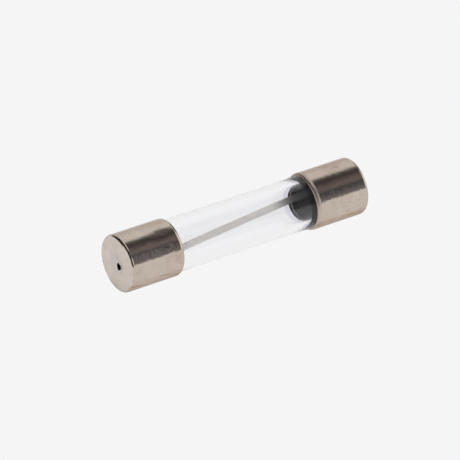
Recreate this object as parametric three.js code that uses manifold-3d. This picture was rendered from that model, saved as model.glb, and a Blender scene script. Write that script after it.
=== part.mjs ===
// Glass cartridge fuse, 6.35 mm x 30 mm: a glass tube with a nickel-plated brass cap bonded on
// each end, and a flat fusible strip that runs slantwise through the bore from cap to cap.
// Millimetres, +Z up. The fuse lies along X, with the origin on its axis midway between the end
// faces.
import Module from "manifold-3d";
import * as THREE from "three";
import { mergeVertices } from "three/addons/utils/BufferGeometryUtils.js";

// Driving dimensions
const OVERALL_LENGTH = 30;
const CAP_DIAMETER = 6.35;
const CAP_LENGTH = 6.55;
const TUBE_DIAMETER = 5.8;
const BORE_DIAMETER = 4.1;
const HALF_LENGTH = OVERALL_LENGTH / 2;
const CAP_RADIUS = CAP_DIAMETER / 2;
const TUBE_RADIUS = TUBE_DIAMETER / 2;
const BORE_RADIUS = BORE_DIAMETER / 2;

// End cap, a drawn cup. Depths are measured inwards from its outer end face.
const CAP_WALL = 0.2;
const CAP_FLOOR = 0.3;
const CAP_CORNER = 0.35;
const CAP_INNER_CORNER = 0.2;
const CAP_INNER_RADIUS = CAP_RADIUS - CAP_WALL;
const LIP_REACH = 0.24; // the rim of the mouth is curled in by this much
const LIP_TAPER = 0.2;
const VENT_RADIUS = 0.4; // hole in the middle of the end face
const DISH_RADIUS = 1.3; // shallow dished area round the hole
const DISH_DEPTH = 0.12;

// Glass tube
const TUBE_DEPTH = 0.8; // where the end of the glass lies inside the cap
const TUBE_EDGE = 0.15; // radius of the fire-polished edges

// Solder, which fills the closed end of the cap and rises into the bore
const SOLDER_RISE = 0.75;
const MENISCUS = 0.25;
const NECK_DEPTH = 0.3; // the solder in the vent hole lies this far below the end face

// Cement film between the glass and the cap
const CEMENT_START = 1.2;
const CEMENT_END = 5.85;

// Fusible strip
const STRIP_WIDTH = 0.75;
const STRIP_THICKNESS = 0.12;
const STRIP_END_DEPTH = 0.95; // how deep in the caps its ends lie, held in the solder
const STRIP_SLANT = 1.15; // each end lies this far to one side of the axis
const STRIP_BOW = 0.1;
const STRIP_STEPS = 12;
const STRIP_TURN = THREE.MathUtils.degToRad(55); // turn of the strip about the fuse's axis

// Bonded pieces keep this much clearance, so that each stays a body of its own.
const BOND_GAP = 0.02;
const SLOT_GAP = 0.04;

// Roundness
const SIDES = 48;
const ARC_STEPS = 3;
const MERGE_DISTANCE = 1e-4;

const wasm = await Module();
wasm.setup();

const nickel = new THREE.MeshStandardMaterial({ color: 0xc3b6aa, roughness: 0.18, metalness: 1 });
const zinc = new THREE.MeshStandardMaterial({ color: 0xb4b3ae, roughness: 0.5, metalness: 1 });
const solder = new THREE.MeshStandardMaterial({ color: 0xb9b9bc, roughness: 0.35, metalness: 1 });
const cement = new THREE.MeshStandardMaterial({ color: 0x4d453d, roughness: 0.6, metalness: 0 });
const glass = new THREE.MeshStandardMaterial({
  color: 0xeeeef3,
  roughness: 0.02,
  metalness: 0,
  transparent: true,
  opacity: 0.25,
});

// A point of a turned profile: distance from the axis, and depth from the outer end face.
function at(radius, depth) {
  return new THREE.Vector2(radius, depth);
}

// Points of a round edge centred on (radius, depth). 0 degrees points away from the axis, and 90
// degrees points inwards along the fuse.
function arc(radius, depth, size, fromDegrees, toDegrees) {
  const points = [];
  for (let step = 0; step <= ARC_STEPS; step++) {
    const degrees = THREE.MathUtils.lerp(fromDegrees, toDegrees, step / ARC_STEPS);
    const angle = THREE.MathUtils.degToRad(degrees);
    points.push(at(radius + size * Math.cos(angle), depth + size * Math.sin(angle)));
  }
  return points;
}

// Turns a closed profile into a solid that lies along -X from its outer end face at x = 0. The
// half-step start puts a flat of the polygon, not a corner, at the bottom.
function turned(profile) {
  const geometry = new THREE.LatheGeometry(profile, SIDES, Math.PI / SIDES);
  return geometry.rotateZ(Math.PI / 2);
}

function capGeometry() {
  const lipInner = CAP_RADIUS - LIP_REACH;
  return turned([
    at(VENT_RADIUS, DISH_DEPTH),
    at(DISH_RADIUS, 0),
    ...arc(CAP_RADIUS - CAP_CORNER, CAP_CORNER, CAP_CORNER, -90, 0),
    ...arc(lipInner, CAP_LENGTH - LIP_REACH, LIP_REACH, 0, 90),
    at(lipInner, CAP_LENGTH - LIP_TAPER),
    at(CAP_INNER_RADIUS, CAP_LENGTH - LIP_TAPER - LIP_REACH),
    ...arc(CAP_INNER_RADIUS - CAP_INNER_CORNER, CAP_FLOOR + CAP_INNER_CORNER, CAP_INNER_CORNER, 0, -90),
    at(DISH_RADIUS, CAP_FLOOR),
    at(VENT_RADIUS, CAP_FLOOR + DISH_DEPTH),
    at(VENT_RADIUS, DISH_DEPTH),
  ]);
}

function tubeGeometry() {
  const start = TUBE_DEPTH + TUBE_EDGE;
  const end = OVERALL_LENGTH - start;
  const outer = TUBE_RADIUS - TUBE_EDGE;
  const inner = BORE_RADIUS + TUBE_EDGE;
  return turned([
    ...arc(inner, start, TUBE_EDGE, -180, -90),
    ...arc(outer, start, TUBE_EDGE, -90, 0),
    ...arc(outer, end, TUBE_EDGE, 0, 90),
    ...arc(inner, end, TUBE_EDGE, 90, 180),
    at(BORE_RADIUS, start),
  ]);
}

function cementGeometry() {
  const inner = TUBE_RADIUS + BOND_GAP;
  const outer = CAP_INNER_RADIUS - BOND_GAP;
  return turned([
    at(inner, CEMENT_START),
    at(outer, CEMENT_START),
    at(outer, CEMENT_END),
    at(inner, CEMENT_END),
    at(inner, CEMENT_START),
  ]);
}

// A flat band whose long edges run from one side of the axis to the other in a slight bow. The
// allowance enlarges it all round, to cut its slot in the solder.
function stripGeometry(allowance = 0) {
  const halfLength = HALF_LENGTH - STRIP_END_DEPTH + allowance;
  const halfWidth = STRIP_WIDTH / 2 + allowance;
  const thickness = STRIP_THICKNESS + 2 * allowance;
  const edge = (offset) =>
    new THREE.QuadraticBezierCurve(
      new THREE.Vector2(-halfLength, offset - STRIP_SLANT),
      new THREE.Vector2(0, offset + 2 * STRIP_BOW),
      new THREE.Vector2(halfLength, offset + STRIP_SLANT),
    ).getPoints(STRIP_STEPS);
  const outline = new THREE.Shape([...edge(-halfWidth), ...edge(halfWidth).reverse()]);
  const geometry = new THREE.ExtrudeGeometry(outline, { depth: thickness, bevelEnabled: false });
  return geometry.translate(0, 0, -thickness / 2).rotateX(STRIP_TURN);
}

// A geometry as a manifold solid, for cutting.
function solid(geometry) {
  const bare = geometry.clone();
  bare.deleteAttribute("normal");
  bare.deleteAttribute("uv");
  const merged = mergeVertices(bare, MERGE_DISTANCE);
  const vertProperties = merged.getAttribute("position").array;
  const triVerts = Uint32Array.from(merged.getIndex().array);
  return new wasm.Manifold(new wasm.Mesh({ numProp: 3, vertProperties, triVerts }));
}

// A manifold solid as a geometry again.
function geometryOf(cut) {
  const mesh = cut.getMesh();
  const geometry = new THREE.BufferGeometry();
  geometry.setAttribute("position", new THREE.BufferAttribute(mesh.vertProperties, 3));
  geometry.setIndex(new THREE.BufferAttribute(mesh.triVerts, 1));
  geometry.computeVertexNormals();
  return geometry;
}

// The solder fills the space between the cap's floor, its wall, the end of the glass and the bore,
// with a neck into the vent hole, and it has the slot that the strip's end sits in.
function solderGeometry(slot) {
  const floor = CAP_FLOOR + BOND_GAP;
  const outer = CAP_INNER_RADIUS - BOND_GAP;
  const neck = VENT_RADIUS - BOND_GAP;
  const shoulder = TUBE_DEPTH - BOND_GAP;
  const plug = BORE_RADIUS - BOND_GAP;
  const rise = TUBE_DEPTH + SOLDER_RISE;
  const body = turned([
    at(0, NECK_DEPTH),
    at(neck, NECK_DEPTH),
    at(neck, floor + DISH_DEPTH),
    at(DISH_RADIUS, floor),
    at(outer - CAP_INNER_CORNER, floor),
    at(outer, floor + CAP_INNER_CORNER),
    at(outer, shoulder),
    at(plug, shoulder),
    at(plug, rise),
    at(plug * 0.75, rise - MENISCUS * 0.75),
    at(plug * 0.4, rise - MENISCUS),
    at(0, rise - MENISCUS),
  ]);
  return geometryOf(solid(body).subtract(solid(slot)));
}

function piece(name, geometry, material) {
  const mesh = new THREE.Mesh(geometry, material);
  mesh.name = name;
  return mesh;
}

// The cap, solder and cement of one end, in a group whose x = 0 is that end's outer face.
function capEnd(side, x, turn) {
  const group = new THREE.Group();
  group.position.x = x;
  group.rotation.z = turn;
  group.updateMatrix();
  const slot = stripGeometry(SLOT_GAP).applyMatrix4(group.matrix.clone().invert());
  group.add(piece(`end_cap_${side}`, capGeometry(), nickel));
  group.add(piece(`solder_${side}`, solderGeometry(slot), solder));
  group.add(piece(`cement_${side}`, cementGeometry(), cement));
  return group;
}

const tube = piece("glass_tube", tubeGeometry(), glass);
tube.position.x = HALF_LENGTH;

const fuse = new THREE.Group();
fuse.add(tube);
fuse.add(piece("fuse_strip", stripGeometry(), zinc));
fuse.add(capEnd("left", -HALF_LENGTH, Math.PI));
fuse.add(capEnd("right", HALF_LENGTH, 0));

export default fuse;
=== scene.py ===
from math import atan2, cos, hypot, pi, radians, sin

import bmesh
import bpy
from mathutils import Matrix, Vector, noise


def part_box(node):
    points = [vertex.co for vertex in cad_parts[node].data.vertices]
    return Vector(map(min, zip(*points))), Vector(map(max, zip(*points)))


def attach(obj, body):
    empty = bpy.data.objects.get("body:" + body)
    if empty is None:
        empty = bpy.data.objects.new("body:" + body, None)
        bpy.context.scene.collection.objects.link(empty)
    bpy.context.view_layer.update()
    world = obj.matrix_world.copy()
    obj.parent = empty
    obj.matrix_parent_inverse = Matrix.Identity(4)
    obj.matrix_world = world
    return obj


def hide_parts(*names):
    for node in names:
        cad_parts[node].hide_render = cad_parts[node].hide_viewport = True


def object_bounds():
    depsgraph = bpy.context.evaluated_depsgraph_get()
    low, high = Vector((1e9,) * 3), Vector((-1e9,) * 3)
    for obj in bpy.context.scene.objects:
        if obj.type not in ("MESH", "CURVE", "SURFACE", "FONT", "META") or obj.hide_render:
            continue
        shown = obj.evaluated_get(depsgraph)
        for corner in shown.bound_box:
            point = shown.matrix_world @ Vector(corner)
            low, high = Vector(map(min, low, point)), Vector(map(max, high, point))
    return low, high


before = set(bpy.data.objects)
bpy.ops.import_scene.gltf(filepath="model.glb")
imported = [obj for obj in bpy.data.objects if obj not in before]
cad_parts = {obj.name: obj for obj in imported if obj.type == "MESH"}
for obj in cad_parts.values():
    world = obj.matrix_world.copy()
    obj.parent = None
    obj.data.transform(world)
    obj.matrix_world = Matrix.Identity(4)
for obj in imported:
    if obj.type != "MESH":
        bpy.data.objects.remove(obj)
cad_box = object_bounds()
MM = 0.001


# --- Glass tube -----------------------------------------------------------------------------
# A length of clear drawn tube, thick in the wall for its size, cut and fire-polished so that both
# rims are round. It is pushed into the two caps, and cement and solder hold it there.
TUBE_BORE = 2.05 * MM
TUBE_RIM = 0.15 * MM
TUBE_SIDES = 576
TUBE_PARTS = 12
RIM_STEPS = 6
SUPPORT = 0.03 * MM
GLASS_COLOUR = (0.985, 0.985, 0.992, 1)
GLASS_BANDS = (0.978, 0.98, 0.99, 1)
GLASS_IOR = 1.5
DRAW_LINE_WIDTH = 0.7 * MM
DRAW_LINE_LENGTH = 25 * MM
DRAW_LINE_HEIGHT = 0.0002 * MM

tube_low, tube_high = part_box("glass_tube")
tube_outside = (tube_high.z - tube_low.z) / 2


def round_edge(radius, x, size, start, end, steps=RIM_STEPS):
    """Points (radius, x) of a round edge about a centre. 0 degrees points away from the axis and 90
    towards +X. The size is one radius, or a pair: across the axis, and along it."""
    across, along = size if isinstance(size, tuple) else (size, size)
    angles = [radians(start + (end - start) * i / steps) for i in range(steps + 1)]
    return [(radius + across * cos(a), x + along * sin(a)) for a in angles]


def straight(start, end, parts):
    """Points between start and end, without the two ends, evenly spaced, with one more close to
    each end to keep the shading flat up to the round edge."""
    length = hypot(end[0] - start[0], end[1] - start[1])
    shares = [SUPPORT / length] + [i / parts for i in range(1, parts)] + [1 - SUPPORT / length]
    return [(start[0] + (end[0] - start[0]) * s, start[1] + (end[1] - start[1]) * s) for s in shares]


def turned(name, profile, sides, shape=None, inside_from=None):
    """A line of points (radius, x) turned about the X axis into a closed skin. A line that starts on
    the axis closes there, and any other joins its last point to its first. shape(point) can move a
    point. Faces from the profile's point inside_from onwards use the second material."""
    mesh = bpy.data.meshes.new(name)
    bm = bmesh.new()
    rings = []
    for radius, x in profile:
        if radius == 0:
            rings.append([bm.verts.new((x, 0, 0))] * sides)
            continue
        ring = []
        for side in range(sides):
            angle = 2 * pi * side / sides
            point = Vector((x, radius * cos(angle), radius * sin(angle)))
            ring.append(bm.verts.new(shape(point) if shape else point))
        rings.append(ring)
    closing = [] if profile[0][0] == 0 else [(rings[-1], rings[0])]
    for row, (one, other) in enumerate([*zip(rings, rings[1:]), *closing]):
        for side in range(sides):
            following = (side + 1) % sides
            corners = [one[side], one[following], other[following], other[side]]
            face = bm.faces.new(list(dict.fromkeys(corners)))
            face.material_index = 1 if inside_from is not None and row >= inside_from else 0
    bmesh.ops.recalc_face_normals(bm, faces=bm.faces)
    bm.to_mesh(mesh)
    bm.free()
    mesh.shade_smooth()
    piece = bpy.data.objects.new(name, mesh)
    bpy.context.scene.collection.objects.link(piece)
    return piece


rim_outside = tube_outside - TUBE_RIM
rim_bore = TUBE_BORE + TUBE_RIM
rim_left = tube_low.x + TUBE_RIM
rim_right = tube_high.x - TUBE_RIM
tube_profile = [
    *round_edge(rim_bore, rim_left, TUBE_RIM, -180, -90),
    *round_edge(rim_outside, rim_left, TUBE_RIM, -90, 0),
    *straight((tube_outside, rim_left), (tube_outside, rim_right), TUBE_PARTS),
    *round_edge(rim_outside, rim_right, TUBE_RIM, 0, 90),
    *round_edge(rim_bore, rim_right, TUBE_RIM, 90, 180),
    *straight((TUBE_BORE, rim_right), (TUBE_BORE, rim_left), TUBE_PARTS),
]
tube = turned("glass_tube_drawn", tube_profile, TUBE_SIDES)


def node(tree, kind, settings=None, **values):
    """A new node of that kind. Settings are its own properties. A value is a number, a colour or a
    socket to link. Its name is the input's name with _ for a space, or i0, i1, i2 for its place."""
    made = tree.nodes.new(kind)
    for name, value in (settings or {}).items():
        setattr(made, name, value)
    for name, value in values.items():
        by_place = name[0] == "i" and name[1:].isdigit()
        key = int(name[1:]) if by_place else name.replace("_", " ")
        if isinstance(value, bpy.types.NodeSocket):
            tree.links.new(value, made.inputs[key])
        else:
            made.inputs[key].default_value = value
    return made


def math(tree, operation, *values):
    """The result of a Math node."""
    places = {f"i{place}": value for place, value in enumerate(values)}
    return node(tree, "ShaderNodeMath", {"operation": operation}, **places).outputs[0]


def blend(tree, share, first, second, kind="MIX"):
    """A colour from first (share 0) to second (share 1)."""
    mix = node(tree, "ShaderNodeMix", {"data_type": "RGBA", "blend_type": kind},
               i0=share, i6=first, i7=second)
    return mix.outputs[2]


def ramp(tree, value, low, high, start=0.0, end=1.0):
    """A value that goes smoothly from start to end while the input goes from low to high."""
    made = node(tree, "ShaderNodeMapRange", {"interpolation_type": "SMOOTHSTEP"}, Value=value,
                From_Min=low, From_Max=high, To_Min=start, To_Max=end)
    return made.outputs[0]


def group(name, inputs, outputs):
    """A shader node group with the named sockets, with its input and output nodes."""
    tree = bpy.data.node_groups.new(name, "ShaderNodeTree")
    for way, sockets in (("INPUT", inputs), ("OUTPUT", outputs)):
        for socket, (kind, default) in sockets.items():
            made = tree.interface.new_socket(socket, in_out=way, socket_type=f"NodeSocket{kind}")
            if default is not None:
                made.default_value = default
    return tree, tree.nodes.new("NodeGroupInput"), tree.nodes.new("NodeGroupOutput")


def use(tree, name, **values):
    """A node that uses the node group of that name."""
    made = tree.nodes.new("ShaderNodeGroup")
    made.node_tree = bpy.data.node_groups[name]
    for socket, value in values.items():
        if isinstance(value, bpy.types.NodeSocket):
            tree.links.new(value, made.inputs[socket])
        else:
            made.inputs[socket].default_value = value
    return made


# Streaks that run along X, a given width and length, as a value about 0.5.
tree, group_in, group_out = group(
    "lengthwise_lines",
    {"Width": ("Float", 0.001), "Length": ("Float", 0.01), "Seed": ("Float", 0.0)},
    {"Value": ("Float", None)},
)
place = node(tree, "ShaderNodeTexCoord").outputs["Object"]
width_scale = math(tree, "DIVIDE", 1.0, group_in.outputs["Width"])
length_scale = math(tree, "DIVIDE", 1.0, group_in.outputs["Length"])
scales = node(tree, "ShaderNodeCombineXYZ", None, X=length_scale, Y=width_scale, Z=width_scale)
shift = node(tree, "ShaderNodeCombineXYZ", None, X=group_in.outputs["Seed"])
stretched = node(tree, "ShaderNodeVectorMath", {"operation": "MULTIPLY_ADD"}, i0=place, i1=scales.outputs[0],
                 i2=shift.outputs[0])
lines = node(tree, "ShaderNodeTexNoise", None, Vector=stretched.outputs[0], Scale=1.0, Detail=3.0)
tree.links.new(lines.outputs["Fac"], group_out.inputs["Value"])

# A height value turned into a shading normal. The height is in metres.
tree, group_in, group_out = group(
    "height_to_normal", {"Value": ("Float", 0.5), "Height": ("Float", 0.00001)}, {"Normal": ("Vector", None)}
)
bump = node(tree, "ShaderNodeBump", None, Height=group_in.outputs["Value"],
            Distance=group_in.outputs["Height"])
tree.links.new(bump.outputs[0], group_out.inputs["Normal"])


def new_material(name):
    """A material with an empty tree, its output node and its Principled shader."""
    material = bpy.data.materials.new(name)
    material.use_nodes = True
    tree = material.node_tree
    tree.nodes.clear()
    output = tree.nodes.new("ShaderNodeOutputMaterial")
    shader = tree.nodes.new("ShaderNodeBsdfPrincipled")
    tree.links.new(shader.outputs["BSDF"], output.inputs["Surface"])
    return material, tree, shader


glass, tree, shader = new_material("clear_drawn_glass")
draw_lines = use(tree, "lengthwise_lines", Width=DRAW_LINE_WIDTH, Length=DRAW_LINE_LENGTH).outputs["Value"]
tree.links.new(blend(tree, draw_lines, GLASS_COLOUR, GLASS_BANDS), shader.inputs["Base Color"])
drawn = use(tree, "height_to_normal", Value=draw_lines, Height=DRAW_LINE_HEIGHT)
tree.links.new(drawn.outputs["Normal"], shader.inputs["Normal"])
shader.inputs["Roughness"].default_value = 0.0
shader.inputs["IOR"].default_value = GLASS_IOR
shader.inputs["Transmission Weight"].default_value = 1.0
tube.data.materials.append(glass)
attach(tube, "root")
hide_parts("glass_tube")


# --- Fusible strip --------------------------------------------------------------------------
# A flat ribbon of zinc, slit from rolled sheet, that melts to break the circuit. It lies slantwise
# across the bore, bowed a little, and each end is buried in the solder of a cap.
STRIP_WIDTH = 0.75 * MM
STRIP_THICKNESS = 0.12 * MM
STRIP_EDGE = 0.035 * MM
STRIP_SLANT = 1.15 * MM
STRIP_BOW = 0.1 * MM
STRIP_TURN = radians(55)
STRIP_STEPS = 160
STRIP_KINK = 0.03 * MM
STRIP_KINK_SIZE = 5 * MM
STRIP_SEED = 4.0
ZINC = (0.955, 0.925, 0.87, 1)
ZINC_DULL = (0.8, 0.775, 0.73, 1)
ROLL_WIDTH = 0.06 * MM
ROLL_LENGTH = 4 * MM
ROLL_HEIGHT = 0.004 * MM
ZINC_PATCH = 1.1 * MM
# The strip goes nearly black towards each end, where it runs into a cap: painted shade for the dark inside of
# the cap.
ZINC_SHADED_IN_CAP = (0.03, 0.028, 0.028, 1)
CAP_SHADE_START = 4.2 * MM
CAP_SHADE_FULL = 7.6 * MM
CAP_SHADE_SHARE = 0.95
ROLL_SHARE = 0.45
DULL_SHARE = 0.4
ZINC_ROUGHNESS = (0.5, 0.65)
ZINC_METALLIC = 0.1

strip_low, strip_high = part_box("fuse_strip")
strip_half = (strip_high.x - strip_low.x) / 2


def new_nodes(name, inputs):
    """A Geometry Nodes tree with the named inputs, with its input and output nodes."""
    tree = bpy.data.node_groups.new(name, "GeometryNodeTree")
    tree.interface.new_socket("Geometry", in_out="OUTPUT", socket_type="NodeSocketGeometry")
    for socket, kind in inputs.items():
        tree.interface.new_socket(socket, in_out="INPUT", socket_type=f"NodeSocket{kind}")
    return tree, tree.nodes.new("NodeGroupInput").outputs, tree.nodes.new("NodeGroupOutput")


def grown(name, tree, values):
    """The tree's result as an object with a plain mesh. Values are its inputs by name."""
    carrier = bpy.data.objects.new(f"{name}_carrier", bpy.data.meshes.new(f"{name}_carrier"))
    bpy.context.scene.collection.objects.link(carrier)
    modifier = carrier.modifiers.new("nodes", "NODES")
    modifier.node_group = tree
    for item in tree.interface.items_tree:
        if item.in_out == "INPUT" and item.name in values:
            modifier[item.identifier] = values[item.name]
    depsgraph = bpy.context.evaluated_depsgraph_get()
    mesh = bpy.data.meshes.new_from_object(carrier.evaluated_get(depsgraph), depsgraph=depsgraph)
    mesh.name = name
    bpy.data.objects.remove(carrier)
    piece = bpy.data.objects.new(name, mesh)
    bpy.context.scene.collection.objects.link(piece)
    return piece


# Patches where a surface has dulled, of a given size, from clean (0) to dull (1).
tree, group_in, group_out = group(
    "worn_patches",
    {"Size": ("Float", 0.001), "Low": ("Float", 0.45), "High": ("Float", 0.7), "Seed": ("Float", 0.0)},
    {"Amount": ("Float", None)},
)
place = node(tree, "ShaderNodeTexCoord").outputs["Object"]
scale = math(tree, "DIVIDE", 1.0, group_in.outputs["Size"])
cloud = node(tree, "ShaderNodeTexNoise", {"noise_dimensions": "4D"}, Vector=place, Scale=scale,
             W=group_in.outputs["Seed"], Detail=5.0, Roughness=0.6)
worn = node(tree, "ShaderNodeMapRange", {"interpolation_type": "SMOOTHSTEP"}, Value=cloud.outputs["Fac"],
            From_Min=group_in.outputs["Low"], From_Max=group_in.outputs["High"])
tree.links.new(worn.outputs[0], group_out.inputs["Amount"])

zinc, tree, shader = new_material("rolled_zinc")
roll_marks = use(tree, "lengthwise_lines", Width=ROLL_WIDTH, Length=ROLL_LENGTH).outputs["Value"]
dull = use(tree, "worn_patches", Size=ZINC_PATCH, Low=0.35, High=0.75, Seed=STRIP_SEED).outputs["Amount"]
streaked = math(tree, "MULTIPLY", ramp(tree, roll_marks, 0.35, 0.7), ROLL_SHARE)
dulled = math(tree, "ADD", streaked, math(tree, "MULTIPLY", dull, DULL_SHARE))
place = node(tree, "ShaderNodeTexCoord").outputs["Object"]
from_middle = node(tree, "ShaderNodeSeparateXYZ", None, i0=place).outputs[0]
# Painted shade: the strip darkens with distance from the middle, as it enters the caps.
shaded_in_cap = math(tree, "MULTIPLY", ramp(tree, from_middle, CAP_SHADE_START, CAP_SHADE_FULL), CAP_SHADE_SHARE)
metal = blend(tree, shaded_in_cap, blend(tree, dulled, ZINC, ZINC_DULL), ZINC_SHADED_IN_CAP)
tree.links.new(metal, shader.inputs["Base Color"])
tree.links.new(ramp(tree, dull, 0.0, 1.0, *ZINC_ROUGHNESS), shader.inputs["Roughness"])
rolled = use(tree, "height_to_normal", Value=roll_marks, Height=ROLL_HEIGHT)
tree.links.new(rolled.outputs["Normal"], shader.inputs["Normal"])
shader.inputs["Metallic"].default_value = ZINC_METALLIC

tree, given, result = new_nodes("ribbon_on_a_bow", {
    "Half Length": "Float", "Slant": "Float", "Bow": "Float", "Width": "Float", "Thickness": "Float",
    "Edge": "Float", "Turn": "Float", "Kink": "Float", "Kink Size": "Float", "Seed": "Float",
    "Steps": "Int", "Material": "Material",
})


def triple(tree, x, y, z=0.0):
    """A vector from three numbers or sockets."""
    return node(tree, "ShaderNodeCombineXYZ", None, X=x, Y=y, Z=z).outputs[0]


back_half = math(tree, "MULTIPLY", given["Half Length"], -1.0)
back_slant = math(tree, "MULTIPLY", given["Slant"], -1.0)
crown = math(tree, "MULTIPLY", given["Bow"], 2.0)
path = node(tree, "GeometryNodeCurveQuadraticBezier", None, Resolution=given["Steps"],
            Start=triple(tree, back_half, back_slant), Middle=triple(tree, 0.0, crown),
            End=triple(tree, given["Half Length"], given["Slant"]))
seat = node(tree, "GeometryNodeInputPosition").outputs[0]
kinks = node(tree, "ShaderNodeTexNoise", {"noise_dimensions": "4D"}, Vector=seat,
             Scale=math(tree, "DIVIDE", 1.0, given["Kink Size"]), W=given["Seed"], Detail=1.0)
lift = math(tree, "MULTIPLY", math(tree, "SUBTRACT", kinks.outputs["Fac"], 0.5), given["Kink"])
kinked = node(tree, "GeometryNodeSetPosition", None, Geometry=path.outputs[0],
              Offset=triple(tree, 0.0, 0.0, lift))
level = node(tree, "GeometryNodeSetCurveNormal", {"mode": "Z_UP"}, Curve=kinked.outputs[0])
section = node(tree, "GeometryNodeCurvePrimitiveQuadrilateral", {"mode": "RECTANGLE"},
               Width=given["Width"], Height=given["Thickness"])
eased = node(tree, "GeometryNodeFilletCurve", {"mode": "POLY"}, Curve=section.outputs[0],
             Radius=given["Edge"], Count=3)
ribbon = node(tree, "GeometryNodeCurveToMesh", None, Curve=level.outputs[0], Profile_Curve=eased.outputs[0],
              Fill_Caps=True)
turned_ribbon = node(tree, "GeometryNodeTransform", None, Geometry=ribbon.outputs[0],
                     Rotation=triple(tree, given["Turn"], 0.0))
real = node(tree, "GeometryNodeRealizeInstances", None, Geometry=turned_ribbon.outputs[0])
dressed = node(tree, "GeometryNodeSetMaterial", None, Geometry=real.outputs[0], Material=given["Material"])
tree.links.new(dressed.outputs[0], result.inputs["Geometry"])

strip = grown("fuse_strip_ribbon", tree, {
    "Half Length": strip_half, "Slant": STRIP_SLANT, "Bow": STRIP_BOW, "Width": STRIP_WIDTH,
    "Thickness": STRIP_THICKNESS, "Edge": STRIP_EDGE, "Turn": STRIP_TURN, "Kink": STRIP_KINK,
    "Kink Size": STRIP_KINK_SIZE, "Seed": STRIP_SEED, "Steps": STRIP_STEPS, "Material": zinc,
})
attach(strip, "root")
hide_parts("fuse_strip")


# --- Cement ---------------------------------------------------------------------------------
# A thin film of brown cement between the glass and the inside of each cap, coloured nearly black as painted
# shade for the dark gap between glass and cap. It is run in wet, so its two edges are a little uneven.
CEMENT_BROWN_SHADED = (0.05, 0.042, 0.034, 1)
CEMENT_PALE_SHADED = (0.1, 0.085, 0.07, 1)
CEMENT_GRAIN = 0.12 * MM
CEMENT_GRAIN_HEIGHT = 0.01 * MM
CEMENT_UNEVEN = 0.12 * MM
CEMENT_UNEVEN_SIZE = 1.4 * MM
CEMENT_SIDES = 96
CEMENT_PARTS = 8
CEMENT_GAP = 0.021 * MM
CEMENT_ROUGHNESS = 0.7

# The cement's brown is darkened to near black: painted shade of the gap between glass and cap.
cement, tree, shader = new_material("brown_cement_painted_dark")
grain = use(tree, "worn_patches", Size=CEMENT_GRAIN, Low=0.3, High=0.7, Seed=7.0).outputs["Amount"]
tree.links.new(blend(tree, grain, CEMENT_BROWN_SHADED, CEMENT_PALE_SHADED), shader.inputs["Base Color"])
grainy = use(tree, "height_to_normal", Value=grain, Height=CEMENT_GRAIN_HEIGHT)
tree.links.new(grainy.outputs["Normal"], shader.inputs["Normal"])
shader.inputs["Roughness"].default_value = CEMENT_ROUGHNESS

for side in ("left", "right"):
    low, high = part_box(f"cement_{side}")
    outer = (high.z - low.z) / 2
    inner = tube_outside + CEMENT_GAP
    middle = (low.x + high.x) / 2

    def uneven(point, middle=middle, reach=(high.x - low.x) / 2):
        """Pushes the film's ends back, by an amount that changes round the glass."""
        wave = noise.noise(Vector((middle / MM, point.y, point.z)) / CEMENT_UNEVEN_SIZE)
        share = (point.x - middle) / reach
        return point - Vector((share * CEMENT_UNEVEN * abs(wave), 0, 0))

    film_profile = [
        (inner, low.x), (outer, low.x), *straight((outer, low.x), (outer, high.x), CEMENT_PARTS),
        (outer, high.x), (inner, high.x), *straight((inner, high.x), (inner, low.x), CEMENT_PARTS),
    ]
    film = turned(f"cement_{side}_film", film_profile, CEMENT_SIDES, uneven)
    film.data.materials.append(cement)
    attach(film, "root")
    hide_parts(f"cement_{side}")


# Cement squeezed out of the right cap's mouth on the far side of the glass, and a thin frosted pale skin
# beside it. The skin is a painted reflection: it stands in for the inside of the cap's lip mirroring the
# bright surroundings through the glass.
BEAD_START = 8.4 * MM
BEAD_LENGTH = 0.34 * MM
BEAD_SPREAD = radians(100)
BEAD_LAYER = (0.004 * MM, 0.014 * MM)
BEAD_MIDDLE = radians(215)
BEAD_THINNEST = 0.01
BEAD_SHARP = radians(40)
BEAD_STEPS = 90
BEAD_PARTS = 12
BEAD_RAGGED = 0.12
BEAD_SEED = 5.0
SKIN_LENGTH = 0.97 * MM
SKIN_SPREAD = radians(118)
SKIN_LAYER = (0.018 * MM, 0.028 * MM)
SKIN_GRAIN = 3 * CEMENT_GRAIN
SKIN_ROUGHNESS = 0.35
SKIN_IOR = 1.25
SKIN_CLEAR = (0.9, 0.875, 0.95, 1)
SKIN_GREY = (0.8, 0.78, 0.86, 1)

# Painted reflection: a pale frosted film where the lip's inside would show bright through the glass.
skin, tree, shader = new_material("frosted_skin_painted_reflection")
grain = use(tree, "worn_patches", Size=SKIN_GRAIN, Low=0.3, High=0.75, Seed=BEAD_SEED).outputs["Amount"]
tree.links.new(blend(tree, grain, SKIN_CLEAR, SKIN_GREY), shader.inputs["Base Color"])
grainy = use(tree, "height_to_normal", Value=grain, Height=CEMENT_GRAIN_HEIGHT)
tree.links.new(grainy.outputs["Normal"], shader.inputs["Normal"])
shader.inputs["Roughness"].default_value = SKIN_ROUGHNESS
shader.inputs["IOR"].default_value = SKIN_IOR
shader.inputs["Transmission Weight"].default_value = 1.0


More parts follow.
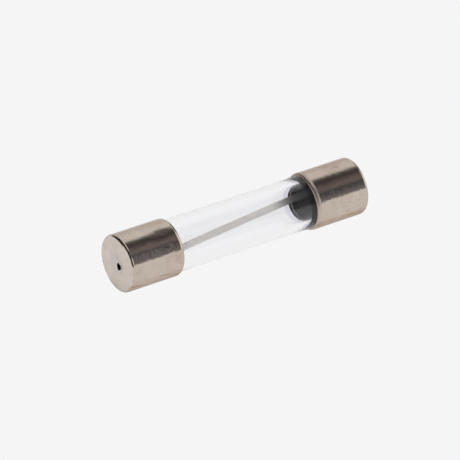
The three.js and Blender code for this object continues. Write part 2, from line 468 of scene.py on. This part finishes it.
def squeezed_out(name, longest, spread, inner, outer):
    """A skin on the far side of the glass, longest in the middle and running out at its two ends.
    Inner and outer are its distances from the glass."""
    mesh = bpy.data.meshes.new(name)
    bm = bmesh.new()
    sections = []
    for step in range(BEAD_STEPS + 1):
        share = 2 * step / BEAD_STEPS - 1
        angle = BEAD_MIDDLE + share * spread
        across = Vector((0, -cos(angle), sin(angle)))
        ragged = 1 + BEAD_RAGGED * noise.noise(Vector((share * 6, 0, BEAD_SEED)))
        length = longest * max(1 - share * share, BEAD_THINNEST) ** 0.5 * ragged
        places = [BEAD_START - length * part / BEAD_PARTS for part in range(BEAD_PARTS + 1)]
        low = [across * (tube_outside + inner) + Vector((x, 0, 0)) for x in places]
        high = [across * (tube_outside + outer) + Vector((x, 0, 0)) for x in reversed(places)]
        sections.append([bm.verts.new(point) for point in low + high])
    for one, other in zip(sections, sections[1:]):
        for corner in range(len(one)):
            following = (corner + 1) % len(one)
            bm.faces.new((one[corner], one[following], other[following], other[corner]))
    bm.faces.new(sections[0])
    bm.faces.new(sections[-1])
    bmesh.ops.recalc_face_normals(bm, faces=bm.faces)
    bm.to_mesh(mesh)
    bm.free()
    mesh.shade_smooth()
    mesh.set_sharp_from_angle(angle=BEAD_SHARP)
    piece = bpy.data.objects.new(name, mesh)
    bpy.context.scene.collection.objects.link(piece)
    return piece


bead = squeezed_out("cement_right_bead", BEAD_LENGTH, BEAD_SPREAD, *BEAD_LAYER)
bead.data.materials.append(cement)
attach(bead, "root")

reflection_skin = squeezed_out("cement_right_frosted_skin_painted_reflection", SKIN_LENGTH, SKIN_SPREAD, *SKIN_LAYER)
reflection_skin.data.materials.append(skin)
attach(reflection_skin, "root")


# --- End caps -------------------------------------------------------------------------------
# Cups drawn from thin brass strip and plated with bright nickel. The mouth is curled in against
# the glass, and the end face has a small pierced hole in a shallow dish. Handling has left a few
# plain dents in the left one.
CAP_WALL = 0.2 * MM
CAP_FLOOR = 0.3 * MM
CAP_CORNER = 0.35 * MM
CAP_INNER_CORNER = 0.2 * MM
LIP_REACH = 0.24 * MM
LIP_LENGTH = 0.42 * MM
LIP_TAPER = 0.2 * MM
LIP_INSET = 0.1 * MM
VENT = 0.4 * MM
VENT_UNEVEN = 0.3
DISH = 1.3 * MM
DISH_DEPTH = 0.12 * MM
DISH_STEPS = 14
CAP_SIDES = 256
BARREL_PARTS = 110
CORNER_STEPS = 12

cap_low, cap_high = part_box("end_cap_left")
cap_length = cap_high.x - cap_low.x
cap_outside = (cap_high.z - cap_low.z) / 2
cap_inside = cap_outside - CAP_WALL
cap_faces = {"left": (cad_box[0][0], 1), "right": (cad_box[1][0], -1)}

# How far the hole is from the middle of each face (y, z), and the seed of its ragged edge.
VENT_PLACES = {"left": (-0.28 * MM, -0.2 * MM, 3.0), "right": (0.15 * MM, 0.1 * MM, 8.0)}

# Plain dents in the left barrel: distance from the end face, degrees up from the front, half length
# on the left and on the right of the deepest place, half width, and depth.
DENTS = [
    (4.6, 66, 1.7, 2.0, 1.0, 0.05),
    (2.7, 48, 0.5, 0.7, 0.45, 0.02),
    (5.0, 36, 0.8, 0.4, 0.3, 0.016),
]


def smooth(share):
    """Smooth step from 0 to 1."""
    share = min(max(share, 0.0), 1.0)
    return share * share * (3 - 2 * share)


def vent_shift(point, side):
    """Moves the rim of the hole off the middle of the face and makes it ragged."""
    radius = hypot(point.y, point.z)
    pull = 1 - smooth((radius - VENT) / (DISH - VENT))
    if pull <= 0:
        return point
    off_y, off_z, seed = VENT_PLACES[side]
    ragged = noise.noise(Vector((point.y, point.z, 0)).normalized() * 1.3 + Vector((0, 0, seed)))
    grow = 1 + VENT_UNEVEN * ragged * pull
    return Vector((point.x, point.y * grow + off_y * pull, point.z * grow + off_z * pull))


def dented(point):
    """Presses the dents into the outside of the left barrel."""
    radius = hypot(point.y, point.z)
    if radius < cap_inside + CAP_WALL / 2:
        return point
    along = (point.x - cad_box[0][0]) / MM
    angle = atan2(point.z, -point.y)
    depth = 0.0
    for place, degrees_up, left_length, right_length, half_width, deep in DENTS:
        across = (angle - radians(degrees_up)) * cap_outside / MM
        length = left_length if along < place else right_length
        reach = hypot((along - place) / length, across / half_width)
        depth += deep * smooth(1 - reach) * MM
    scale = (radius - depth) / radius
    return Vector((point.x, point.y * scale, point.z * scale))


def cap_profile():
    """The cap's section, outside and inside, with its end face at x = 0 and its mouth towards +X."""
    face_edge = cap_outside - CAP_CORNER
    inner_edge = cap_inside - CAP_INNER_CORNER
    lip_inner = cap_outside - LIP_REACH
    lip_start = cap_length - LIP_LENGTH
    taper_start = lip_start - LIP_TAPER
    floor_edge = CAP_FLOOR + CAP_INNER_CORNER
    dish = []
    for step in range(DISH_STEPS):
        share = step / DISH_STEPS
        dish.append((VENT + (DISH - VENT) * share, DISH_DEPTH * (1 - smooth(share))))
    outside = [
        *dish,
        (DISH, 0),
        *straight((DISH, 0), (face_edge, 0), 8),
        *round_edge(face_edge, CAP_CORNER, CAP_CORNER, -90, 0, CORNER_STEPS),
        *straight((cap_outside, CAP_CORNER), (cap_outside, lip_start), BARREL_PARTS),
        *round_edge(lip_inner, lip_start, (LIP_REACH, LIP_LENGTH), 0, 90, CORNER_STEPS),
    ]
    inside = [
        (lip_inner, cap_length - LIP_INSET),
        (cap_inside, taper_start),
        *straight((cap_inside, taper_start), (cap_inside, floor_edge), 10),
        *round_edge(inner_edge, floor_edge, CAP_INNER_CORNER, 0, -90),
        (DISH, CAP_FLOOR),
        (VENT, CAP_FLOOR + DISH_DEPTH),
        (VENT, DISH_DEPTH + CAP_FLOOR / 2),
    ]
    return outside, inside


NICKEL = (0.51, 0.437, 0.375, 1)
NICKEL_PALE = (0.575, 0.505, 0.45, 1)
TARNISH = (0.33, 0.245, 0.175, 1)
HALO = (0.52, 0.475, 0.465, 1)
FACE_PALER = (1.13, 1.18, 1.25, 1)
EDGE_TINT = (0.8, 0.74, 0.7, 1)
# The inside colours are painted shade: brass made nearly black for the dark hollow of each cap.
CAP_INSIDE_SHADE = (0.045, 0.037, 0.03, 1)
CAP_INSIDE_SHADE_PALE = (0.085, 0.07, 0.055, 1)
STAIN_SIZE = 1.9 * MM
SPECK_SIZE = 0.5 * MM
STREAK_WIDTH = 0.28 * MM
STREAK_LENGTH = 3.5 * MM
HALO_RADIUS = 1.65 * MM
RIPPLE_SIZE = 0.75 * MM
RIPPLE_HEIGHT = 0.009 * MM
SCRATCH_WIDTH = 0.03 * MM
SCRATCH_LENGTH = 0.5 * MM
SCRATCH_HEIGHT = 0.0002 * MM
DULL_CURL = (8.3 * MM, 9.0 * MM)
# The streaks low on the front of each barrel are partly tarnish and partly painted shade: the darkened floor
# under the cap that the barrel mirrors.
LOW_SHADED_STREAKS = radians(-38)
TOP_STREAKS = radians(92)
TOP_SHARE = 0.12
PALE_SHARE = 0.6
PALE_KEPT_CLEAN = 0.8
CLOUD_TARNISH = 0.34
SPECK_TARNISH = 0.42
STREAK_TARNISH_AND_SHADE = 0.75
CORNER_TARNISH = 0.6
HALO_SHARE = 0.8
NICKEL_ROUGHNESS = 0.055
TARNISH_ROUGHER = 0.12
HALO_ROUGHER = 0.15
CURL_ROUGHER = 0.36

nickel, tree, shader = new_material("bright_nickel")
place = node(tree, "ShaderNodeTexCoord").outputs["Object"]
place_xyz = node(tree, "ShaderNodeSeparateXYZ", None, i0=place).outputs
from_axis = math(tree, "SQRT", math(tree, "ADD", math(tree, "POWER", place_xyz[1], 2.0),
                                    math(tree, "POWER", place_xyz[2], 2.0)))
on_barrel = ramp(tree, from_axis, cap_outside - CAP_CORNER / 2, cap_outside - CAP_CORNER / 4)
front = math(tree, "MULTIPLY", place_xyz[1], -1.0)


def facing(tree, angle, start):
    """1 on the side of the barrel at that angle up from the front, falling to 0 away from it."""
    along = math(tree, "MULTIPLY", front, cos(angle))
    upward = math(tree, "MULTIPLY", place_xyz[2], sin(angle))
    lean = math(tree, "DIVIDE", math(tree, "ADD", along, upward), from_axis)
    return ramp(tree, lean, start, 0.99)


stain = use(tree, "worn_patches", Size=STAIN_SIZE, Low=0.48, High=0.74, Seed=1.0).outputs["Amount"]
speck = use(tree, "worn_patches", Size=SPECK_SIZE, Low=0.5, High=0.78, Seed=2.0).outputs["Amount"]
pale = use(tree, "worn_patches", Size=STAIN_SIZE, Low=0.45, High=0.7, Seed=5.0).outputs["Amount"]
streak = use(tree, "lengthwise_lines", Width=STREAK_WIDTH, Length=STREAK_LENGTH, Seed=6.0).outputs["Value"]
# Streaks on the low front side: tarnish, and painted shade of the floor under the cap seen in the barrel.
low_shaded_side = facing(tree, LOW_SHADED_STREAKS, 0.93)
top_side = math(tree, "MULTIPLY", facing(tree, TOP_STREAKS, 0.8), TOP_SHARE)
sides = math(tree, "MULTIPLY", on_barrel, math(tree, "MAXIMUM", low_shaded_side, top_side))
streaked = math(tree, "MULTIPLY", sides, ramp(tree, streak, 0.42, 0.62))
off_barrel = math(tree, "SUBTRACT", 1.0, on_barrel)
outer_part = ramp(tree, from_axis, cap_outside - 2 * CAP_CORNER, cap_outside - CAP_CORNER)
at_corner = math(tree, "MULTIPLY", outer_part, off_barrel)
patchy = math(tree, "MULTIPLY_ADD", pale, -PALE_KEPT_CLEAN, 1.0)
amount = math(tree, "MULTIPLY", stain, CLOUD_TARNISH)
amount = math(tree, "MULTIPLY_ADD", speck, SPECK_TARNISH, amount)
amount = math(tree, "MULTIPLY_ADD", math(tree, "MULTIPLY", streaked, patchy), STREAK_TARNISH_AND_SHADE, amount)
amount = math(tree, "MULTIPLY_ADD", math(tree, "MULTIPLY", at_corner, speck), CORNER_TARNISH, amount)
metal = blend(tree, math(tree, "MULTIPLY", pale, PALE_SHARE), NICKEL, NICKEL_PALE)
metal = blend(tree, amount, metal, TARNISH)
at_face = math(tree, "GREATER_THAN", math(tree, "ABSOLUTE", place_xyz[0]), cad_box[1][0] - CAP_CORNER)
on_face = math(tree, "MULTIPLY", at_face, off_barrel)
metal = blend(tree, on_face, metal, FACE_PALER, "MULTIPLY")
halo_edge = math(tree, "MULTIPLY_ADD", stain, -0.5 * MM, from_axis)
halo = ramp(tree, halo_edge, HALO_RADIUS * 0.6, HALO_RADIUS, 1.0, 0.0)
metal = blend(tree, math(tree, "MULTIPLY", halo, HALO_SHARE), metal, HALO)
tree.links.new(metal, shader.inputs["Base Color"])
rough = math(tree, "MULTIPLY_ADD", amount, TARNISH_ROUGHER, NICKEL_ROUGHNESS)
rough = math(tree, "MULTIPLY_ADD", halo, HALO_ROUGHER, rough)
dull_curl = math(tree, "MULTIPLY", ramp(tree, place_xyz[0], DULL_CURL[0], DULL_CURL[0] + 0.05 * MM),
                 ramp(tree, place_xyz[0], DULL_CURL[1] - 0.15 * MM, DULL_CURL[1], 1.0, 0.0))
rough = math(tree, "MULTIPLY_ADD", dull_curl, CURL_ROUGHER, rough)
tree.links.new(rough, shader.inputs["Roughness"])
ripple = use(tree, "worn_patches", Size=RIPPLE_SIZE, Low=0.2, High=0.8, Seed=9.0).outputs["Amount"]
rippled = use(tree, "height_to_normal", Value=ripple, Height=RIPPLE_HEIGHT).outputs["Normal"]
scratch = use(tree, "lengthwise_lines", Width=SCRATCH_WIDTH, Length=SCRATCH_LENGTH, Seed=3.0).outputs["Value"]
scratched = node(tree, "ShaderNodeBump", None, Height=scratch, Distance=SCRATCH_HEIGHT, Normal=rippled)
tree.links.new(scratched.outputs[0], shader.inputs["Normal"])
shader.inputs["Metallic"].default_value = 1.0
shader.inputs["Specular Tint"].default_value = EDGE_TINT

# Painted shade: the brass inside the cap is coloured nearly black, not lit dark.
shaded_inside, tree, shader = new_material("brass_inside_painted_dark")
dull = use(tree, "worn_patches", Size=SPECK_SIZE, Low=0.35, High=0.7, Seed=4.0).outputs["Amount"]
tree.links.new(blend(tree, dull, CAP_INSIDE_SHADE, CAP_INSIDE_SHADE_PALE), shader.inputs["Base Color"])
tree.links.new(ramp(tree, dull, 0.0, 1.0, 0.25, 0.4), shader.inputs["Roughness"])
shader.inputs["Metallic"].default_value = 1.0

for side, (face_x, inwards) in cap_faces.items():
    outside, inside = cap_profile()
    placed = [(radius, face_x + inwards * x) for radius, x in outside + inside]

    def worked(point, side=side):
        """The cap's skin with its hole in place, and with dents if it is the left one."""
        moved = vent_shift(point, side)
        return dented(moved) if side == "left" else moved

    cap = turned(f"end_cap_{side}_drawn", placed, CAP_SIDES, worked, len(outside) - 1)
    cap.data.materials.append(nickel)
    cap.data.materials.append(shaded_inside)
    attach(cap, "root")
    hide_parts(f"end_cap_{side}")


# --- Solder ---------------------------------------------------------------------------------
# Tin solder fills the closed end of each cap. It holds the end of the strip, runs a little way
# into the bore with a hollow surface, and comes up to the hole in the end face.
SOLDER_GAP = 0.02 * MM
SOLDER_NECK = 0.3 * MM
SOLDER_NECK_HOLLOW = 0.25 * MM
SOLDER_RISE = 1.55 * MM
SOLDER_HOLLOW = 0.25 * MM
SOLDER_SIDES = 96
TUBE_DEPTH = 0.8 * MM
TIN = (0.5, 0.5, 0.52, 1)
TIN_DULL = (0.3, 0.29, 0.3, 1)
# The solder down in the hole and near the end face is coloured nearly black: painted shade of the deep
# recess.
NECK_SHADE_BLACK = (0.02, 0.014, 0.01, 1)
NECK_SHADE_DEPTH = 0.65 * MM
TIN_MOTTLE = 0.35 * MM
TIN_HEIGHT = 0.02 * MM

tin, tree, shader = new_material("satin_solder")
mottle = use(tree, "worn_patches", Size=TIN_MOTTLE, Low=0.3, High=0.7, Seed=11.0).outputs["Amount"]
place = node(tree, "ShaderNodeTexCoord").outputs["Object"]
place_xyz = node(tree, "ShaderNodeSeparateXYZ", None, i0=place).outputs
from_middle = math(tree, "ABSOLUTE", place_xyz[0])
# Painted shade: solder within reach of the end face, seen down the hole, goes nearly black.
neck_shade = ramp(tree, from_middle, cad_box[1][0] - NECK_SHADE_DEPTH, cad_box[1][0] - NECK_SHADE_DEPTH + 0.1 * MM)
metal = blend(tree, neck_shade, blend(tree, mottle, TIN, TIN_DULL), NECK_SHADE_BLACK)
tree.links.new(metal, shader.inputs["Base Color"])
tree.links.new(ramp(tree, mottle, 0.0, 1.0, 0.3, 0.5), shader.inputs["Roughness"])
frosted = use(tree, "height_to_normal", Value=mottle, Height=TIN_HEIGHT)
tree.links.new(frosted.outputs["Normal"], shader.inputs["Normal"])
shader.inputs["Metallic"].default_value = 1.0

floor_x = CAP_FLOOR + SOLDER_GAP
solder_outer = cap_inside - SOLDER_GAP
solder_neck = VENT - SOLDER_GAP
solder_plug = TUBE_BORE - SOLDER_GAP
shoulder = TUBE_DEPTH - SOLDER_GAP
solder_edge = solder_outer - CAP_INNER_CORNER
fill_profile = [
    (0, SOLDER_NECK + SOLDER_NECK_HOLLOW),
    *[(solder_neck * s, SOLDER_NECK + SOLDER_NECK_HOLLOW * (1 - s * s)) for s in (0.25, 0.5, 0.75, 0.9)],
    (solder_neck, SOLDER_NECK),
    (solder_neck, floor_x + DISH_DEPTH),
    (DISH, floor_x),
    *round_edge(solder_edge, floor_x + CAP_INNER_CORNER, CAP_INNER_CORNER, -90, 0),
    (solder_outer, shoulder),
    (solder_plug, shoulder),
    *straight((solder_plug, shoulder), (solder_plug, SOLDER_RISE), 6),
    *[(solder_plug * s, SOLDER_RISE - SOLDER_HOLLOW * (1 - s ** 3)) for s in (1.0, 0.9, 0.75, 0.6, 0.4, 0.2)],
    (0, SOLDER_RISE - SOLDER_HOLLOW),
]
for side, (face_x, inwards) in cap_faces.items():
    placed = [(radius, face_x + inwards * x) for radius, x in fill_profile]
    fill = turned(f"solder_{side}_fill", placed, SOLDER_SIDES, lambda point: vent_shift(point, side))
    fill.data.materials.append(tin)
    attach(fill, "root")
    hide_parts(f"solder_{side}")


# --- Camera, floor and light ----------------------------------------------------------------
# A long lens looks down along the fuse from its left front. The fuse lies on a pale sheet that glows evenly
# where the camera sees it, with dark cards in front and behind it that the bright caps mirror.
AZIMUTH = radians(-33.6)
ELEVATION = radians(30.2)
DISTANCE = 0.6
LENS = 444
AIM_RIGHT = -0.634 * MM
AIM_UP = -0.598 * MM

back = Vector((sin(AZIMUTH) * cos(ELEVATION), -cos(AZIMUTH) * cos(ELEVATION), sin(ELEVATION)))
right = Vector((cos(AZIMUTH), sin(AZIMUTH), 0))
up = back.cross(right)
camera_data = bpy.data.cameras.new("camera")
camera_data.lens = LENS
camera_data.sensor_width = 36
camera_data.clip_start = 0.01
camera = bpy.data.objects.new("camera", camera_data)
camera.location = back * DISTANCE + right * AIM_RIGHT + up * AIM_UP
camera.rotation_euler = back.to_track_quat("Z", "Y").to_euler()
bpy.context.scene.collection.objects.link(camera)
bpy.context.scene.camera = camera
bpy.context.scene.view_settings.view_transform = "Standard"

FLOOR_HALF = 2.0
PALE = 0.913
FLOOR_MIRRORED = 1.0
FLOOR_THROUGH = 0.87
FLOOR_THROUGH_BORE = 0.9
# The sheet glows. What the caps and glass mirror of it has a painted shadow under the fuse, and what is seen
# through the glass is dimmer: painted shade.
UNDER_SHADE = 0.6
UNDER_HALF_WIDTH = 3.6 * MM
UNDER_HALF_LENGTH = 17 * MM
UNDER_GLASS = (-6 * MM, 9.2 * MM)

floor_z = cad_box[0][2]
signs = [(-1, -1), (1, -1), (1, 1), (-1, 1)]
corners = [(x * FLOOR_HALF, y * FLOOR_HALF, floor_z) for x, y in signs]
floor_mesh = bpy.data.meshes.new("floor")
floor_mesh.from_pydata(corners, [], [(0, 1, 2, 3)])
floor = bpy.data.objects.new("floor", floor_mesh)
bpy.context.scene.collection.objects.link(floor)
material = bpy.data.materials.new("pale_floor")
material.use_nodes = True
tree = material.node_tree
tree.nodes.clear()
output = tree.nodes.new("ShaderNodeOutputMaterial")
path = tree.nodes.new("ShaderNodeLightPath").outputs
place = node(tree, "ShaderNodeTexCoord").outputs["Object"]
place_xyz = node(tree, "ShaderNodeSeparateXYZ", None, i0=place).outputs
# Painted shadow: a darker patch of glow under the fuse, seen only in reflections, with the middle under the
# glass left clear.
beside = ramp(tree, math(tree, "ABSOLUTE", place_xyz[1]), 0.0, UNDER_HALF_WIDTH)
beyond = ramp(tree, math(tree, "ABSOLUTE", place_xyz[0]), UNDER_HALF_LENGTH * 0.8, UNDER_HALF_LENGTH)
under_glass = math(tree, "MULTIPLY", ramp(tree, place_xyz[0], UNDER_GLASS[0] - MM, UNDER_GLASS[0]),
                   ramp(tree, place_xyz[0], UNDER_GLASS[1], UNDER_GLASS[1] + MM, 1.0, 0.0))
clear = math(tree, "MAXIMUM", math(tree, "MAXIMUM", beside, beyond), under_glass)
shade = math(tree, "MULTIPLY_ADD", clear, 1.0 - UNDER_SHADE, UNDER_SHADE)
mirrored = math(tree, "MULTIPLY", shade, FLOOR_MIRRORED)
both_walls = math(tree, "GREATER_THAN", path["Transmission Depth"], 3.5)  # two faces each
through = math(tree, "MULTIPLY_ADD", both_walls, FLOOR_THROUGH_BORE - FLOOR_THROUGH, FLOOR_THROUGH)
other = node(tree, "ShaderNodeMix", {"data_type": "FLOAT"}, i0=path["Is Transmission Ray"],
             i2=mirrored, i3=through)
strength = node(tree, "ShaderNodeMix", {"data_type": "FLOAT"}, i0=path["Is Camera Ray"],
                i2=other.outputs[0], i3=PALE)
glow = node(tree, "ShaderNodeEmission", None, Color=(1, 1, 1, 1), Strength=strength.outputs[0])
tree.links.new(glow.outputs[0], output.inputs["Surface"])
floor.data.materials.append(material)

# Cards that the caps mirror: along X (low, high), degrees up from the front (low, high), colour, and
# softness along X and in degrees. The main card changes in steps of (degrees, colour), and glass on
# its own sees a plain sky, with the cards weak in its reflections.
GAP_LIGHT = (1.9, 1.88, 1.85, 1)
CARDS = [
    ((0.08, 0.3), (8, 112), (0.3, 0.28, 0.29, 1), 0.015, 4),
    ((0.08, 0.3), (8, 38), GAP_LIGHT, 0.015, 6),
    ((0.08, 0.3), (70, 112), GAP_LIGHT, 0.015, 6),
    ((0.63, 1.05), (8, 112), (1.4, 1.37, 1.35, 1), 0.02, 4),
    ((-0.87, 0.06), (4, 170), (0.07, 0.06, 0.065, 1), 0.015, 4),
    ((0.72, 0.98), (98, 176), (0.08, 0.07, 0.08, 1), 0.02, 4),
]
MAIN_CARD = (0.3, 0.64)
MAIN_CARD_TURN = (7, 118)
MAIN_CARD_STOPS = [
    (7, (1.0, 1.0, 1.0)),
    (12, (0.26, 0.26, 0.28)),
    (22, (0.2, 0.2, 0.22)),
    (28, (0.13, 0.135, 0.15)),
    (36, (0.08, 0.088, 0.1)),
    (44, (0.1, 0.105, 0.12)),
    (50, (0.2, 0.19, 0.195)),
    (58, (0.24, 0.215, 0.22)),
    (66, (0.19, 0.17, 0.17)),
    (75, (0.15, 0.135, 0.14)),
    (84, (0.085, 0.076, 0.08)),
    (93, (0.11, 0.1, 0.105)),
    (101, (0.2, 0.19, 0.19)),
    (111, (0.85, 0.85, 0.85)),
    (118, (1.0, 1.0, 1.0)),
]
SKY = (1.0, 1.0, 1.0, 1)
SKY_BEHIND = (0.86, 0.86, 0.87, 1)
SKY_IN_GLASS = (0.87, 0.87, 0.875, 1)
PLAIN_REFLECTION = 0.2
LEFT_PART = ((0.3, 0.476), (10, 42), (0.27, 0.26, 0.285, 1), 0.01, 5)

world = bpy.data.worlds.new("studio")
bpy.context.scene.world = world
world.use_nodes = True
tree = world.node_tree
tree.nodes.clear()
output = tree.nodes.new("ShaderNodeOutputWorld")
direction = tree.nodes.new("ShaderNodeTexCoord").outputs["Generated"]
place_xyz = node(tree, "ShaderNodeSeparateXYZ", None, i0=direction).outputs
front = math(tree, "MULTIPLY", place_xyz[1], -1.0)
turn = math(tree, "DIVIDE", math(tree, "ARCTAN2", place_xyz[2], front), pi / 180)


def between(tree, value, low, high, soft):
    """1 where the value lies between low and high, falling to 0 over a soft edge."""
    rise = ramp(tree, value, low - soft, low + soft)
    return math(tree, "MULTIPLY", rise, ramp(tree, value, high - soft, high + soft, 1.0, 0.0))


def hang(tree, sky, along, angles, colour, soft_along, soft_turn):
    """The sky with one card in front of it."""
    across = between(tree, place_xyz[0], *along, soft_along)
    card = math(tree, "MULTIPLY", across, between(tree, turn, *angles, soft_turn))
    return blend(tree, card, sky, colour)


sky = blend(tree, ramp(tree, turn, 118, 180), SKY, SKY_BEHIND)
for along, angles, colour, soft_along, soft_turn in CARDS:
    sky = hang(tree, sky, along, angles, colour, soft_along, soft_turn)
band = node(tree, "ShaderNodeValToRGB", None, Fac=math(tree, "DIVIDE", turn, 180.0))
while len(band.color_ramp.elements) < len(MAIN_CARD_STOPS):
    band.color_ramp.elements.new(0.5)
for element, (angle, colour) in zip(band.color_ramp.elements, MAIN_CARD_STOPS):
    element.position = angle / 180
    element.color = (*colour, 1)
main = math(tree, "MULTIPLY", between(tree, place_xyz[0], *MAIN_CARD, 0.02),
            between(tree, turn, *MAIN_CARD_TURN, 1))
sky = blend(tree, main, sky, band.outputs["Color"])
sky = hang(tree, sky, *LEFT_PART)
path = tree.nodes.new("ShaderNodeLightPath").outputs
reflected = math(tree, "GREATER_THAN", path["Glossy Depth"], 0.5)
seen_plain = math(tree, "MULTIPLY_ADD", reflected, PLAIN_REFLECTION - 1.0, 1.0)
glass_only = math(tree, "MULTIPLY", path["Is Singular Ray"], seen_plain)
sky = blend(tree, glass_only, sky, SKY_IN_GLASS)
scattered = math(tree, "GREATER_THAN", path["Diffuse Depth"], 0.5)
sky = blend(tree, scattered, sky, SKY)
light = node(tree, "ShaderNodeBackground", None, Color=sky, Strength=1.0)
tree.links.new(light.outputs[0], output.inputs["Surface"])
